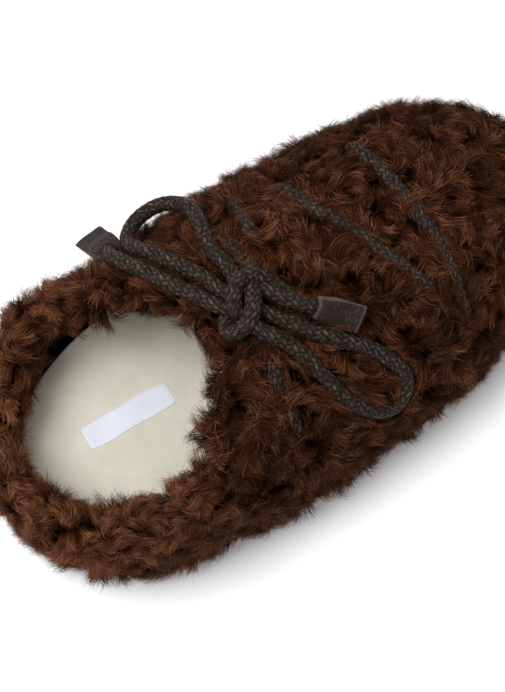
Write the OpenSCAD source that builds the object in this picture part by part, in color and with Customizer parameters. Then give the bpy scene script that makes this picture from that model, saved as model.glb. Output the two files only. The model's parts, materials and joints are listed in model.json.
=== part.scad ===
// Fluffy house slipper, right foot: an open-back slip-on with a low fur collar round the heel,
// a fur vamp with threaded lace bars and a bow, and a fur-wrapped foam sole.
// Frame: +X to the toe, +Y to the wearer's inner side, +Z up, origin under the sole's middle.
// The fur solids end at the middle of the pile, so the loose tips stand a little proud of them.

/* [Overall] */
// Length over the fur
length = 270; // [235:1:300]
// Half-width over the fur at the heel
heel_w = 59; // [50:0.5:68]
// Half-width over the fur at the ball of the foot
ball_w = 64.5; // [55:0.5:72]
// How far the middle line of the sole bends towards the inner side
bend = 4.3; // [0:0.1:8]
// Height of the fur collar at the back of the heel
collar_h = 51; // [42:1:60]
// Height of the fur over the instep, at the throat
instep_h = 84; // [70:1:95]
// Height that the fur would have at the toe before it rounds over
toe_h = 53; // [42:1:60]

/* [Sole] */
// Thickness of the rubber outsole with its tread
outsole_t = 4; // [3:0.5:6]
// Thickness of the foam midsole
midsole_t = 12; // [8:0.5:18]
// Thickness of the insole board
board_t = 1.4; // [1:0.1:2.5]
// Thickness of the footbed's foam
foam_t = 3; // [2:0.5:6]
// Thickness of the plush sock on the footbed
sock_t = 3; // [1.5:0.5:5]
// Width of one tread groove
groove_w = 4; // [2:0.5:6]
// Depth of the tread grooves
groove_d = 1.5; // [0.5:0.1:2.5]

/* [Upper] */
// Thickness of the fur with its backing
fur_t = 8.5; // [6:0.5:11]
// Thickness of the vamp's foam
vamp_foam_t = 2.5; // [1.5:0.1:4]
// Thickness of the vamp's plush lining
vamp_lining_t = 3; // [1.5:0.1:4]
// Thickness of the collar's foam
collar_foam_t = 2; // [1:0.1:3]
// Thickness of the collar's textile lining
collar_lining_t = 1; // [0.6:0.1:1.5]
// Thickness of the toe and heel stiffeners
stiffener_t = 0.7; // [0.5:0.1:1]
// How far the fur turns down inside the collar
turn_in = 14; // [8:1:18]
// Place of the throat's middle along the slipper
throat_x = -42; // [-55:1:-30]

/* [Lace] */
// Diameter of the round braided lace
lace_d = 6.2; // [4:0.1:7]
// Length of the leather tab on each lace end
tab_l = 18; // [12:0.5:24]
// Width of the leather tab on each lace end
tab_w = 9; // [7:0.5:12]
// Thickness of the folded tab
tab_t = 3.4; // [2:0.1:5]

/* [Label] */
// Length of the woven label on the footbed
label_l = 40; // [30:1:50]
// Width of the woven label on the footbed
label_w = 11; // [8:0.5:15]

/* [Hidden] */

gap = 0.3;                                  // air between neighbouring pieces
outline_n = 72;                             // points round a sole outline
// where the heel's curve ends and the toe's curve starts, as shares of the length
heel_s = 0.24;
ball_s = 0.6;
nose_s = 0.8;
// roundness of the heel, the toe, the nose and the vamp's cross-section
heel_p = 2.2;
toe_p = 2.3;
dome_p = 2.6;
dome_q = 2.1;

// heights of the layers
board_z = outsole_t + midsole_t + 0.2;
foam_z = board_z + board_t + 0.2;
sock_z = foam_z + foam_t + 0.2;
sock_top = sock_z + sock_t;
wrap_z = 1.5;
wrap_top = outsole_t + midsole_t + 6.2;
feather_z = wrap_top + gap;                 // the line where the upper meets the sole band

// distances in from the outside of the fur
lining_g = fur_t + vamp_foam_t + stiffener_t + 3 * gap;
insert_g = lining_g + vamp_lining_t + 3 * gap;
counter_g = fur_t + collar_foam_t + 2 * gap;
collar_lining_g = counter_g + stiffener_t + gap;
turn_g = collar_lining_g + collar_lining_t + gap;
turn_t = 3.4;                               // thickness of the fur turned down inside
collar_cap = 8;                             // thickness of the fur over the collar's rim
rim_rise = 14;                              // how much higher the rim is at the side seams
roll_z = -14;                               // where the collar starts to roll over its rim

// the throat: its edge slants a little and scoops back towards the side seams
throat_slant = 4.6;
throat_scoop = 80;
seam_tau = 0.63;

lace_r = lace_d / 2;
grip = 0.45;                                // size of a strand's end at the knot, as a share
thread_d = 0.7;

// ---- shape of the slipper -------------------------------------------------------------

function lerp(a, b, t) = a + (b - a) * t;
function clamp(t, lo = 0, hi = 1) = max(lo, min(hi, t));
function smooth(t) = let(c = clamp(t)) c * c * (3 - 2 * c);

// how much of the full width is left where the heel and the toe round off
function end_round(s) =
    sqrt(max(0, 1 - pow(max(0, heel_s - s) / heel_s, heel_p))) *
    sqrt(max(0, 1 - pow(max(0, s - ball_s) / (1 - ball_s), toe_p)));

// half-width at station s of the outline that lies g inside the fur's outside
function half_w(s, g) =
    (lerp(heel_w, ball_w, smooth((s - heel_s) / (ball_s - heel_s))) - g) * end_round(s);

function bent(s) = bend * (4 * pow(s - 0.5, 2) - 0.4);

// the bend is shifted so that the widest points lie evenly on both sides of the X axis
stations = [for (i = [0 : 100]) i / 100];
mid_shift = -(max([for (s = stations) bent(s) + half_w(s, 0)])
            + min([for (s = stations) bent(s) - half_w(s, 0)])) / 2;
function mid_y(s) = bent(s) + mid_shift;

function plan_x(s, g) = -length / 2 + g + s * (length - 2 * g);
function plan_s(x, g) = (x + length / 2 - g) / (length - 2 * g);
function plan_pt(s, tau, g) = [plan_x(s, g), mid_y(s) + tau * half_w(s, g)];

// closed outline of the sole, g inside the fur
function outline(g) = [
    for (i = [0 : outline_n - 1])
        let(a = 360 * i / outline_n)
        plan_pt((1 - cos(a)) / 2, a < 180 ? -1 : 1, g)
];

// height of the vamp above the feather line along its middle, before the nose rounds off
function ridge(s) = lerp(instep_h, toe_h, pow(clamp((s - 0.34) / 0.66), 1.75)) - feather_z;
function nose(s) = sqrt(max(0, 1 - pow(max(0, s - nose_s) / (1 - nose_s), heel_p)));
function dome(tau) = pow(max(0, 1 - pow(abs(tau), dome_p)), 1 / dome_q);

function vamp_pt(s, tau, g) =
    let(p = plan_pt(s, tau, g))
    [p[0], p[1], feather_z + (ridge(s) - g) * nose(s) * dome(tau)];

// the throat's edge, and the plane of each side seam
function throat_edge(tau) =
    let(t = clamp(tau, -seam_tau, seam_tau))
    throat_x + throat_slant * t - throat_scoop * pow(abs(t), 2.5);
function seam_x(side) = throat_edge(side * seam_tau);

// rows of points over the vamp, from the throat (or a later row) to short of the nose's tip;
// tuck is how far behind the throat's edge a layer starts. Layers with one tuck share their
// rows, so their faces run alongside each other and never cross
vamp_rows = 20;
vamp_cols = 22;
row_end = 0.965;
nose_share = 0.997;
function vamp_grid(g, foot_z, tuck = 0, first_row = 0) = [
    for (i = [first_row : vamp_rows])
        let(v = sin(90 * row_end * i / vamp_rows) / sin(90 * row_end) * nose_share)
        [for (j = [0 : vamp_cols])
            let(
                tau = sin(-90 + 180 * j / vamp_cols),
                s = lerp(plan_s(throat_edge(tau) + tuck, g), 1, v),
                p = vamp_pt(s, tau, g)
            )
            (j == 0 || j == vamp_cols) ? [p[0], p[1], foot_z] : p]
];
function vamp_tip(g, foot_z) = [plan_x(1, g), mid_y(1), foot_z];

// a point on the collar: a runs 0 to 1 from the left seam round the heel to the right one
function collar_pt(a, g, z) =
    let(
        side = a < 0.5 ? 1 : -1,
        s = plan_s(seam_x(side) - gap, g) * (1 - cos(180 * (a - 0.5))),
        p = plan_pt(s, side, g)
    )
    [p[0], p[1], z];
// the rim rises from the heel to meet the vamp at the seams
function rim_z(a) = lerp(collar_h, collar_h + rim_rise, smooth((abs(2 * a - 1) - 0.35) / 0.65));
collar_rows = 34;
function collar_grid(section) = [
    for (i = [0 : collar_rows])
        let(a = i / collar_rows)
        [for (q = section) collar_pt(a, q[0], q[1] > 0 ? q[1] : rim_z(a) + q[1])]
];

// ---- building blocks ------------------------------------------------------------------

function flat(rows) = [for (r = rows) each r];

// faces of a grid of points; flip turns them over
function grid_faces(rows, cols, base, flip) = [
    for (i = [0 : rows - 2], j = [0 : cols - 2])
        let(
            a = base + i * cols + j,
            b = a + 1,
            c = a + cols + 1,
            d = a + cols
        )
        each (flip ? [[a, c, b], [a, d, c]] : [[a, b, c], [a, c, d]])
];
// a strip of faces between two equal runs of point numbers
function strip(p, q) = [
    for (i = [0 : len(p) - 2])
        each [[p[i], q[i], q[i + 1]], [p[i], q[i + 1], p[i + 1]]]
];
function run(from, step, n) = [for (i = [0 : n - 1]) from + i * step];

// a closed shell between two grids of the same size
module shell(outer, inner) {
    rows = len(outer);
    cols = len(outer[0]);
    n = rows * cols;
    faces = concat(
        grid_faces(rows, cols, 0, false),
        grid_faces(rows, cols, n, true),
        strip(run(0, 1, cols), run(n, 1, cols)),
        strip(run(n + (rows - 1) * cols, 1, cols), run((rows - 1) * cols, 1, cols)),
        strip(run(n, cols, rows), run(0, cols, rows)),
        strip(run(cols - 1, cols, rows), run(n + cols - 1, cols, rows))
    );
    polyhedron(concat(flat(outer), flat(inner)), faces, convexity = 8);
}

// the same, with the last row drawn together to a tip on each grid
module tipped_shell(outer, inner, outer_tip, inner_tip) {
    rows = len(outer);
    cols = len(outer[0]);
    n = rows * cols;
    a = 2 * n;
    b = a + 1;
    last = (rows - 1) * cols;
    faces = concat(
        grid_faces(rows, cols, 0, false),
        grid_faces(rows, cols, n, true),
        [for (j = [0 : cols - 2]) [last + j, last + j + 1, a]],
        [for (j = [0 : cols - 2]) [n + last + j + 1, n + last + j, b]],
        strip(run(0, 1, cols), run(n, 1, cols)),
        strip(concat(run(n, cols, rows), [b]), concat(run(0, cols, rows), [a])),
        strip(concat(run(cols - 1, cols, rows), [a]), concat(run(n + cols - 1, cols, rows), [b]))
    );
    polyhedron(concat(flat(outer), flat(inner), [outer_tip, inner_tip]), faces, convexity = 8);
}

// a closed ring: every row is a closed section, and the last row joins the first
module ring(sections) {
    rows = len(sections);
    cols = len(sections[0]);
    faces = [
        for (i = [0 : rows - 1], j = [0 : cols - 1])
            let(
                a = i * cols + j,
                b = i * cols + (j + 1) % cols,
                c = ((i + 1) % rows) * cols + (j + 1) % cols,
                d = ((i + 1) % rows) * cols + j
            )
            each [[a, c, b], [a, d, c]]
    ];
    polyhedron(flat(sections), faces, convexity = 8);
}

function unit(v) = v / norm(v);

// the route with one more point close to each end
function eased(route) =
    let(n = len(route), reach = 2)
    concat(
        [route[0], route[0] + reach * unit(route[1] - route[0])],
        [for (i = [1 : n - 2]) route[i]],
        [route[n - 1] + reach * unit(route[n - 2] - route[n - 1]), route[n - 1]]
    );

// a round tube along a route of points; side is a direction the route never runs along;
// neck gives the size of its first and last ring as shares of the full size
module tube(route, d, side, sides = 8, neck = [1, 1]) {
    n = len(route);
    rings = [
        for (i = [0 : n - 1])
            let(
                along = unit(route[min(i + 1, n - 1)] - route[max(i - 1, 0)]),
                u = unit(cross(along, side)),
                w = cross(along, u),
                r = d / 2 * (i == 0 ? neck[0] : i == n - 1 ? neck[1] : 1)
            )
            [for (k = [0 : sides - 1])
                route[i] + r * (cos(360 * k / sides) * u + sin(360 * k / sides) * w)]
    ];
    faces = concat(
        [for (i = [0 : n - 2], k = [0 : sides - 1])
            let(
                a = i * sides + k,
                b = i * sides + (k + 1) % sides,
                c = (i + 1) * sides + (k + 1) % sides,
                e = (i + 1) * sides + k
            )
            each [[a, c, b], [a, e, c]]],
        [[for (k = [0 : sides - 1]) k], [for (k = [sides - 1 : -1 : 0]) (n - 1) * sides + k]]
    );
    polyhedron(flat(rings), faces, convexity = 6);
}

module sole_layer(g, z, t) {
    translate([0, 0, z])
        linear_extrude(t)
            polygon(outline(g));
}

// places its children with X along the tab and Y across it
module along(at, dir, across) {
    w = cross(dir, across);
    multmatrix([
        [dir[0], across[0], w[0], at[0]],
        [dir[1], across[1], w[1], at[1]],
        [dir[2], across[2], w[2], at[2]],
        [0, 0, 0, 1]
    ])
        children();
}

// ---- lace routes: round points of the lace's centre line ---------------------------------

route_bar_toe = [
    [59, 30, 60.5], [60, 32, 65], [61, 29.5, 69.5], [62, 19, 71.5], [62.5, 9, 72.2],
    [62.5, -2, 72.4], [62.5, -13, 71.9], [62, -24, 70.3], [60.5, -34, 67.3], [58, -44, 62],
    [55.5, -51, 56], [54, -50.5, 51], [53, -47, 48.5]
];
route_bar_middle = [
    [22.5, 30, 66], [23, 32, 70.5], [24.5, 29, 75.5], [28, 16, 77.9], [32, 5, 77.9],
    [36, -6, 77.2], [40, -17, 75.8], [44, -28, 72.8], [47, -35.5, 69.3], [47.5, -37, 65],
    [46.5, -34.5, 60.5]
];
route_bar_instep = [
    [-10, 24, 71.5], [-10, 25, 76], [-9, 21, 80.8], [-8, 8, 82.8], [-4.5, -3, 82.6],
    [0, -17, 81.3], [3.5, -24.5, 79.3], [4.5, -26, 75], [4, -24.5, 70.5]
];
route_bar_side = [
    [5.5, 36, 65], [6, 38.5, 69.5], [5, 34, 75.5], [3.5, 27, 78.5], [2, 19.5, 80.5],
    [1.5, 16.5, 77], [1.5, 16.5, 72.5]
];
route_lead = [
    [-23.5, -19.5, 82], [-23.5, -27.5, 80.5], [-24.5, -34, 77.6], [-25.5, -43.5, 70.8],
    [-27, -51.5, 61], [-27, -53, 55.5], [-26.5, -49.5, 51]
];
route_left_loop = [
    [-23.5, 4.5, 87.2], [-25.5, 12, 87.2], [-29.5, 21, 86], [-33.5, 30.5, 83.2],
    [-37, 39, 78.7], [-38.5, 47, 72.2], [-34, 53, 68.7], [-27, 56, 67.5], [-18.5, 55.5, 68],
    [-12.5, 50.5, 71], [-10.5, 43, 75.5], [-12, 34, 80.7], [-14.5, 26, 84], [-16, 18, 86],
    [-15.5, 10, 87.2]
];
route_right_loop = [
    [-14, -15.5, 86.2], [-9, -22, 84.5], [-2.5, -31, 81.6], [5, -38.5, 77.7], [12.5, -45.5, 72.6],
    [18, -52.5, 65.8], [20.5, -58, 58.5], [17.5, -62, 52.2], [10.5, -63.5, 48.5],
    [2.5, -61.2, 53.3], [-4, -56, 62], [-8, -47.5, 71.5], [-10.5, -38, 78.8],
    [-14.5, -28.5, 84], [-20, -21, 88.5]
];
route_left_tail = [
    [-28, -1.5, 87.6], [-33, 8, 87.8], [-37, 16, 87.2], [-41, 26, 85.2], [-45.5, 38, 79.6],
    [-47, 46, 73.2], [-46, 51.5, 67.8]
];
route_right_tail = [
    [-9.5, -8, 88.7], [-7, -12.5, 88.7], [-3, -18, 88.2], [1.5, -23, 87]
];
knot_at = [-19.5, -5.5, 88.8];
up = [0, 0, 1];
toeward = [1, 0, 0];

left_tab_at = [-46, 52, 67.4];
left_tab_dir = unit([-1, 14.2, -11.5]);
left_tab_side = unit(toeward - (toeward * left_tab_dir) * left_tab_dir);
right_tab_at = [2, -23.5, 86.8];
right_tab_dir = unit([12.5, -12, -7]);
right_tab_flat = unit(cross(up, right_tab_dir));
right_tab_side = cos(40) * right_tab_flat + sin(40) * cross(right_tab_dir, right_tab_flat);

// each eyelet lies at a lace end, where the lace goes in: [point, way out of the vamp]
eyelet_r = 4.8;
eyelet_t = 0.8;
EYELETS = [
    [route_bar_toe[0], unit([0.19, 0.35, 0.92])],
    [route_bar_toe[12], unit([0.17, -0.79, 0.59])],
    [route_bar_middle[0], unit([0.12, 0.38, 0.92])],
    [route_bar_middle[10], unit([0.17, -0.46, 0.87])],
    [route_bar_instep[0], unit([0.07, 0.29, 0.95])],
    [route_bar_instep[8], unit([0.07, -0.33, 0.94])],
    [route_bar_side[0], unit([0.06, 0.54, 0.84])],
    [route_bar_side[6], unit([0, 0.2, 0.98])],
    [route_lead[6], unit([-0.07, -0.91, 0.42])]
];

// ---- sole --------------------------------------------------------------------------------

// rubber sheet with cross grooves; the middle of the sole stays a flat land
module outsole() {
    pitch = 16;
    groove_l = 66;
    below = 1;                              // how far each cutter reaches out of the sole
    color([0.12, 0.10, 0.09])
        difference() {
            sole_layer(fur_t + gap, 0, outsole_t);
            for (x = [-6.5 : 1 : 6.5])
                translate([x * pitch, mid_y(0.5 + x * pitch / length), (groove_d - below) / 2])
                    cube([groove_w, groove_l, groove_d + below], center = true);
        }
}

module midsole() {
    color([0.27, 0.19, 0.14])
        sole_layer(fur_t + gap, outsole_t, midsole_t);
}

// fur band round the edge of the sole
module sole_wrap() {
    section = [
        [fur_t, wrap_top], [5, wrap_top], [2.2, wrap_top - 2.5], [1, wrap_top - 7],
        [1, wrap_z + 7], [2.4, wrap_z + 2.5], [5, wrap_z], [fur_t, wrap_z]
    ];
    color([0.24, 0.13, 0.07])
        ring([for (i = [0 : outline_n - 1])
            let(a = 360 * i / outline_n, s = (1 - cos(a)) / 2, side = a < 180 ? -1 : 1)
            [for (q = section) concat(plan_pt(s, side, q[0]), q[1])]]);
}

module insole_board() {
    color([0.62, 0.50, 0.36])
        sole_layer(insert_g, board_z, board_t);
}

module footbed_foam() {
    color([0.93, 0.88, 0.70])
        sole_layer(insert_g, foam_z, foam_t);
}

module sock() {
    color([0.80, 0.78, 0.70])
        sole_layer(insert_g, sock_z, sock_t);
}

label_at = [-73.5, 3.3, sock_top + 0.1];
label_turn = -5.5;
label_t = 0.6;

module sock_label() {
    color([0.87, 0.88, 0.92])
        translate(label_at)
            rotate(label_turn)
                translate([-label_l / 2, -label_w / 2, 0])
                    cube([label_l, label_w, label_t]);
}

// thread stitches along the label's four edges
module label_stitches() {
    stitch_l = 2.2;
    inset = 1;
    long_n = 10;
    short_n = 3;
    color([0.78, 0.79, 0.82])
        translate(label_at + [0, 0, label_t + 0.05])
            rotate(label_turn) {
                for (i = [0 : long_n - 1], side = [-1, 1])
                    translate([(i - (long_n - 1) / 2) * label_l / (long_n + 0.6),
                               side * (label_w / 2 - inset), thread_d / 4])
                        cube([stitch_l, thread_d / 2, thread_d / 2], center = true);
                for (i = [0 : short_n - 1], side = [-1, 1])
                    translate([side * (label_l / 2 - inset), (i - 1) * label_w / 4, thread_d / 4])
                        cube([thread_d / 2, stitch_l * 0.8, thread_d / 2], center = true);
            }
}

// ---- vamp --------------------------------------------------------------------------------

// everything cut into the fur for the lace: its grooves and the holes over the eyelets
module lace_clearance() {
    clear = lace_d + 2 * gap;
    tube(route_bar_toe, clear, toeward);
    tube(route_bar_middle, clear, toeward);
    tube(route_bar_instep, clear, toeward);
    tube(route_bar_side, clear, toeward);
    tube(route_lead, clear, toeward);
    for (e = EYELETS)
        along(e[0], e[1], unit(cross(e[1], toeward)))
            rotate([0, 90, 0])
                translate([0, 0, -3])
                    cylinder(h = 7, r = eyelet_r + gap, $fn = 12);
}

module vamp_fur() {
    color([0.22, 0.12, 0.06])
        difference() {
            tipped_shell(vamp_grid(0, feather_z), vamp_grid(fur_t, feather_z),
                         vamp_tip(0, feather_z), vamp_tip(fur_t, feather_z));
            lace_clearance();
        }
}

// a layer of the vamp under the fur, tucked in behind the fur's edge at the throat
module vamp_layer(g, t, first_row = 0) {
    tuck = 3.5;
    tipped_shell(vamp_grid(g, board_z, tuck, first_row), vamp_grid(g + t, board_z, tuck, first_row),
                 vamp_tip(g, board_z), vamp_tip(g + t, board_z));
}

module vamp_foam() {
    color([0.90, 0.86, 0.76])
        vamp_layer(fur_t + gap, vamp_foam_t);
}

// stiff cap over the toes only
module toe_puff() {
    color([0.75, 0.72, 0.62])
        vamp_layer(fur_t + vamp_foam_t + 2 * gap, stiffener_t, first_row = 10);
}

module vamp_lining() {
    color([0.78, 0.75, 0.66])
        vamp_layer(lining_g, vamp_lining_t);
}

// ---- collar ------------------------------------------------------------------------------

// the fur goes up the outside, over the rim and down inside; z values of 0 or less are
// counted down from the rim
module collar_fur() {
    outside = [
        [1.2, feather_z], [0, feather_z + 6], [0, roll_z], [1.6, -6.5], [4.6, -2], [8, -0.01],
        [11.5, -0.5], [14.5, -2.8], [turn_g + turn_t, -7], [turn_g + turn_t, -turn_in]
    ];
    inside = [
        [fur_t, feather_z], [fur_t, feather_z + 6], [fur_t, roll_z], [fur_t, -11.5],
        [fur_t, -collar_cap - 1.4], [fur_t + 0.8, -collar_cap], [turn_g - 0.8, -collar_cap],
        [turn_g, -collar_cap - 1.4], [turn_g, -11.5], [turn_g, -turn_in]
    ];
    color([0.22, 0.12, 0.06])
        shell(collar_grid(outside), collar_grid(inside));
}

// an upright layer of the collar, under the fur's cap
module collar_layer(g, t, foot_z) {
    rim = -collar_cap - 0.9;
    shell(
        collar_grid([[g, foot_z], [g, feather_z + 6], [g, roll_z], [g, rim]]),
        collar_grid([[g + t, foot_z], [g + t, feather_z + 6], [g + t, roll_z], [g + t, rim]])
    );
}

module collar_foam() {
    color([0.90, 0.86, 0.76])
        collar_layer(fur_t + gap, collar_foam_t, board_z);
}

// stiff cup round the heel only
module heel_counter() {
    reach = 0.19 * length;
    color([0.72, 0.66, 0.54])
        intersection() {
            collar_layer(counter_g, stiffener_t, board_z);
            translate([-length / 2 - 1, -ball_w, 0])
                cube([reach, 2 * ball_w, collar_h + roll_z]);
        }
}

module collar_lining() {
    color([0.03, 0.03, 0.035])
        collar_layer(collar_lining_g, collar_lining_t, board_z);
}

// ---- lace and bow ------------------------------------------------------------------------

module eyelets() {
    color([0.70, 0.70, 0.72])
        for (e = EYELETS)
            along(e[0], e[1], unit(cross(e[1], toeward)))
                rotate([0, 90, 0])
                    rotate_extrude($fn = 32)
                        translate([lace_r + gap, -0.2])
                            square([eyelet_r - lace_r - gap, eyelet_t]);
}

module lace(route, side) {
    color([0.20, 0.17, 0.16])
        tube(route, lace_d, side);
}

module lace_bar_toe() { lace(route_bar_toe, toeward); }
module lace_bar_middle() { lace(route_bar_middle, toeward); }
module lace_bar_instep() { lace(route_bar_instep, toeward); }
module lace_bar_side() { lace(route_bar_side, toeward); }
module lace_lead() { lace(route_lead, toeward); }

// the bow's strands narrow where the knot grips them, and so clear it when they are lifted
module strand(route, neck) {
    color([0.20, 0.17, 0.16])
        tube(eased(route), lace_d, up, neck = neck);
}

module left_loop() { strand(route_left_loop, [grip, grip]); }
module right_loop() { strand(route_right_loop, [grip, grip]); }
module left_tail() { strand(route_left_tail, [grip, 1]); }
module right_tail() { strand(route_right_tail, [grip, 1]); }

// the knot's outer shape: two turns of the lace drawn tight over the crossing
module bow_knot() {
    turn_r = 4.8;
    reach = [4.9, 6.5, -0.5];
    belly = [1.7, -1.2, 0.2];
    color([0.20, 0.17, 0.16])
        hull()
            for (offset = [reach, -reach + [0, 0, -1], belly, -belly])
                translate(knot_at + offset)
                    sphere(r = turn_r, $fn = 18);
}

// a folded tab: narrow and thick where it grips the lace, wide and thin at its end
module tab(at, dir, across) {
    root_w = tab_w;
    end_w = tab_w * 1.35;
    color([0.17, 0.14, 0.14])
        along(at + dir * 0.4, dir, across)
            hull() {
                translate([0.2, 0, 0])
                    cube([0.4, root_w, tab_t + 1.2], center = true);
                translate([tab_l - 0.2, 0, 0])
                    cube([0.4, end_w, tab_t - 1], center = true);
            }
}

// the row of thread that closes a tab, on both of its faces
module tab_stitches(at, dir, across) {
    stitch_l = 1.4;
    seam_at = 2.6;
    count = 4;
    half_t = lerp(tab_t + 1.2, tab_t - 1, seam_at / tab_l) / 2 + 0.15;
    color([0.08, 0.07, 0.07])
        along(at + dir * 0.4, dir, across)
            for (k = [0 : count - 1], face = [-1, 1])
                translate([seam_at, (k - (count - 1) / 2) * 2, face * (half_t + thread_d / 4)])
                    cube([thread_d / 2, stitch_l, thread_d / 2], center = true);
}

module left_tab() { tab(left_tab_at, left_tab_dir, left_tab_side); }
module right_tab() { tab(right_tab_at, right_tab_dir, right_tab_side); }
module left_tab_stitches() { tab_stitches(left_tab_at, left_tab_dir, left_tab_side); }
module right_tab_stitches() { tab_stitches(right_tab_at, right_tab_dir, right_tab_side); }

outsole();
midsole();
sole_wrap();
insole_board();
footbed_foam();
sock();
sock_label();
label_stitches();
vamp_fur();
vamp_foam();
vamp_lining();
toe_puff();
collar_fur();
collar_foam();
heel_counter();
collar_lining();
eyelets();
lace_bar_toe();
lace_bar_middle();
lace_bar_instep();
lace_bar_side();
lace_lead();
bow_knot();
left_loop();
right_loop();
left_tail();
right_tail();
left_tab();
right_tab();
left_tab_stitches();
right_tab_stitches();
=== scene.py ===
"""Looks of the fluffy house slipper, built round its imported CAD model.

The fur is real geometry: curled locks of thin strands that grow from a dark pelt. The laces are
braided tubes, the tabs folded leather. Everything is in metres, +X to the toe, +Z up.
"""

import json
import math

import bpy
import numpy as np
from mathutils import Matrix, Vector


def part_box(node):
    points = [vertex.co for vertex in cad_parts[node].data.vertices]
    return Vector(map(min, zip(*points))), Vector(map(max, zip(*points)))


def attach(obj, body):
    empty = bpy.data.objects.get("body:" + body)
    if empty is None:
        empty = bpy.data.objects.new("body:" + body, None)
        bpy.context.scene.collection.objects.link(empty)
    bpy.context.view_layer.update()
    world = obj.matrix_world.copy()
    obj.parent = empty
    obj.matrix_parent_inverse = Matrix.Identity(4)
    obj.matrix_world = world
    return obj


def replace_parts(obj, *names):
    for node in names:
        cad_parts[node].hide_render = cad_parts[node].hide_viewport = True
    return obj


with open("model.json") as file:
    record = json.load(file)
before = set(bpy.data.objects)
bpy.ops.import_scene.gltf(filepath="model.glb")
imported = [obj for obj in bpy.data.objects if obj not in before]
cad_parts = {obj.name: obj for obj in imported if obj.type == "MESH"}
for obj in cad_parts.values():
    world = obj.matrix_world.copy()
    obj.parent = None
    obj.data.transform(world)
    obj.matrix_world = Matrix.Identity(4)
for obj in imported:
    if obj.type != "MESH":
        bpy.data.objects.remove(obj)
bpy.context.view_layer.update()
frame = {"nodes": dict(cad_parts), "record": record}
rng = np.random.default_rng(20)

MM = 0.001
UP = np.array([0.0, 0.0, 1.0])
UV_LAYER = "OFBake"

# ---- sizes that the CAD model is built on ----

SOCK_BASE, SOCK_TOP = (corner[2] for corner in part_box("sock"))

LENGTH = 270 * MM
HEEL_W, BALL_W = 59 * MM, 64.5 * MM
BEND = 4.3 * MM
COLLAR_H = 51 * MM
RIM_RISE = 14 * MM
INSTEP_H, TOE_H = 84 * MM, 53 * MM
INSERT_G = 16.6 * MM  # how far inside the fur the footbed's edge lies
FEATHER_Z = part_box("sole_wrap")[1][2] + 0.3 * MM
HEEL_S, BALL_S, NOSE_S = 0.24, 0.6, 0.8
THROAT_X, THROAT_SLANT, THROAT_SCOOP = -42 * MM, 4.6 * MM, 80 * MM
SEAM_TAU = 0.63  # share of the half-width at which the collar meets the vamp
LACE_D = 6.2 * MM

# ---- how the loose fur lies, which the CAD model leaves out ----

ROLL = 14 * MM  # height over which the collar's rim rolls over
SEAM_LEAN = 0.45
SAG = 2 * MM

# ---- shape of the slipper, as the CAD model has it ----


def smooth(t):
    c = np.clip(t, 0, 1)
    return c * c * (3 - 2 * c)


def end_round(s):
    heel = np.clip(1 - (np.clip(HEEL_S - s, 0, None) / HEEL_S) ** 2.2, 0, 1)
    toe = np.clip(1 - (np.clip(s - BALL_S, 0, None) / (1 - BALL_S)) ** 2.3, 0, 1)
    return np.sqrt(heel * toe)


def half_w(s, g):
    """Half-width at station s of the outline that lies g inside the fur's outside."""
    grow = smooth((s - HEEL_S) / (BALL_S - HEEL_S))
    return (HEEL_W + (BALL_W - HEEL_W) * grow - g) * end_round(s)


def bent(s):
    return BEND * (4 * (s - 0.5) ** 2 - 0.4)


stations = np.linspace(0, 1, 101)
MID_SHIFT = -0.5 * (
    (bent(stations) + half_w(stations, 0)).max() + (bent(stations) - half_w(stations, 0)).min()
)


def mid_y(s):
    return bent(s) + MID_SHIFT


def plan_x(s, g):
    return -LENGTH / 2 + g + s * (LENGTH - 2 * g)


def plan_s(x, g):
    return (x + LENGTH / 2 - g) / (LENGTH - 2 * g)


def plan_point(s, tau, g, z):
    x, y = plan_x(s, g), mid_y(s) + tau * half_w(s, g)
    return np.stack(np.broadcast_arrays(x, y, z), axis=-1)


def vamp_point(s, tau, g):
    ridge = INSTEP_H + (TOE_H - INSTEP_H) * np.clip((s - 0.34) / 0.66, 0, 1) ** 1.75 - FEATHER_Z
    nose = np.sqrt(np.clip(1 - (np.clip(s - NOSE_S, 0, None) / (1 - NOSE_S)) ** 2.2, 0, 1))
    dome = np.clip(1 - np.abs(tau) ** 2.6, 0, 1) ** (1 / 2.1)
    return plan_point(s, tau, g, FEATHER_Z + (ridge - g) * nose * dome)


def throat_edge(tau):
    t = np.clip(tau, -SEAM_TAU, SEAM_TAU)
    return THROAT_X + THROAT_SLANT * t - THROAT_SCOOP * np.abs(t) ** 2.5


def rim_z(a):
    return COLLAR_H + RIM_RISE * smooth((np.abs(2 * a - 1) - 0.35) / 0.65)


def settled(points):
    """How the loose upper lies: all of it leans to the outer side, and the pile swells there."""
    points = points.copy()
    x, y, z = (points[..., k] for k in range(3))
    # shares from 0 to 1: past the bow to the toe, low down, above the feather line, at the instep
    toe = smooth((x + 25 * MM) / (75 * MM))
    low = 1 - smooth((z - 28 * MM) / (35 * MM))
    upper = smooth(z / FEATHER_Z - 1)
    instep = np.exp(-(((x + 33 * MM) / (26 * MM)) ** 2))
    inner_side = smooth(y / (30 * MM)) * ((4.6 * toe - 0.4) * upper - 0.6 * (1 - toe))
    outer_side = smooth((-y - 5 * MM) / (35 * MM)) * (2.7 * (1 - toe) + low * (0.4 + 3 * instep))
    points[..., 1] -= (inner_side + outer_side) * MM + SAG * (0.5 + 0.7 * toe)
    heel = smooth((-x - 100 * MM) / (30 * MM))
    points[..., 0] -= 2.2 * MM * heel * smooth((30 * MM - y) / (40 * MM))
    return points


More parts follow.
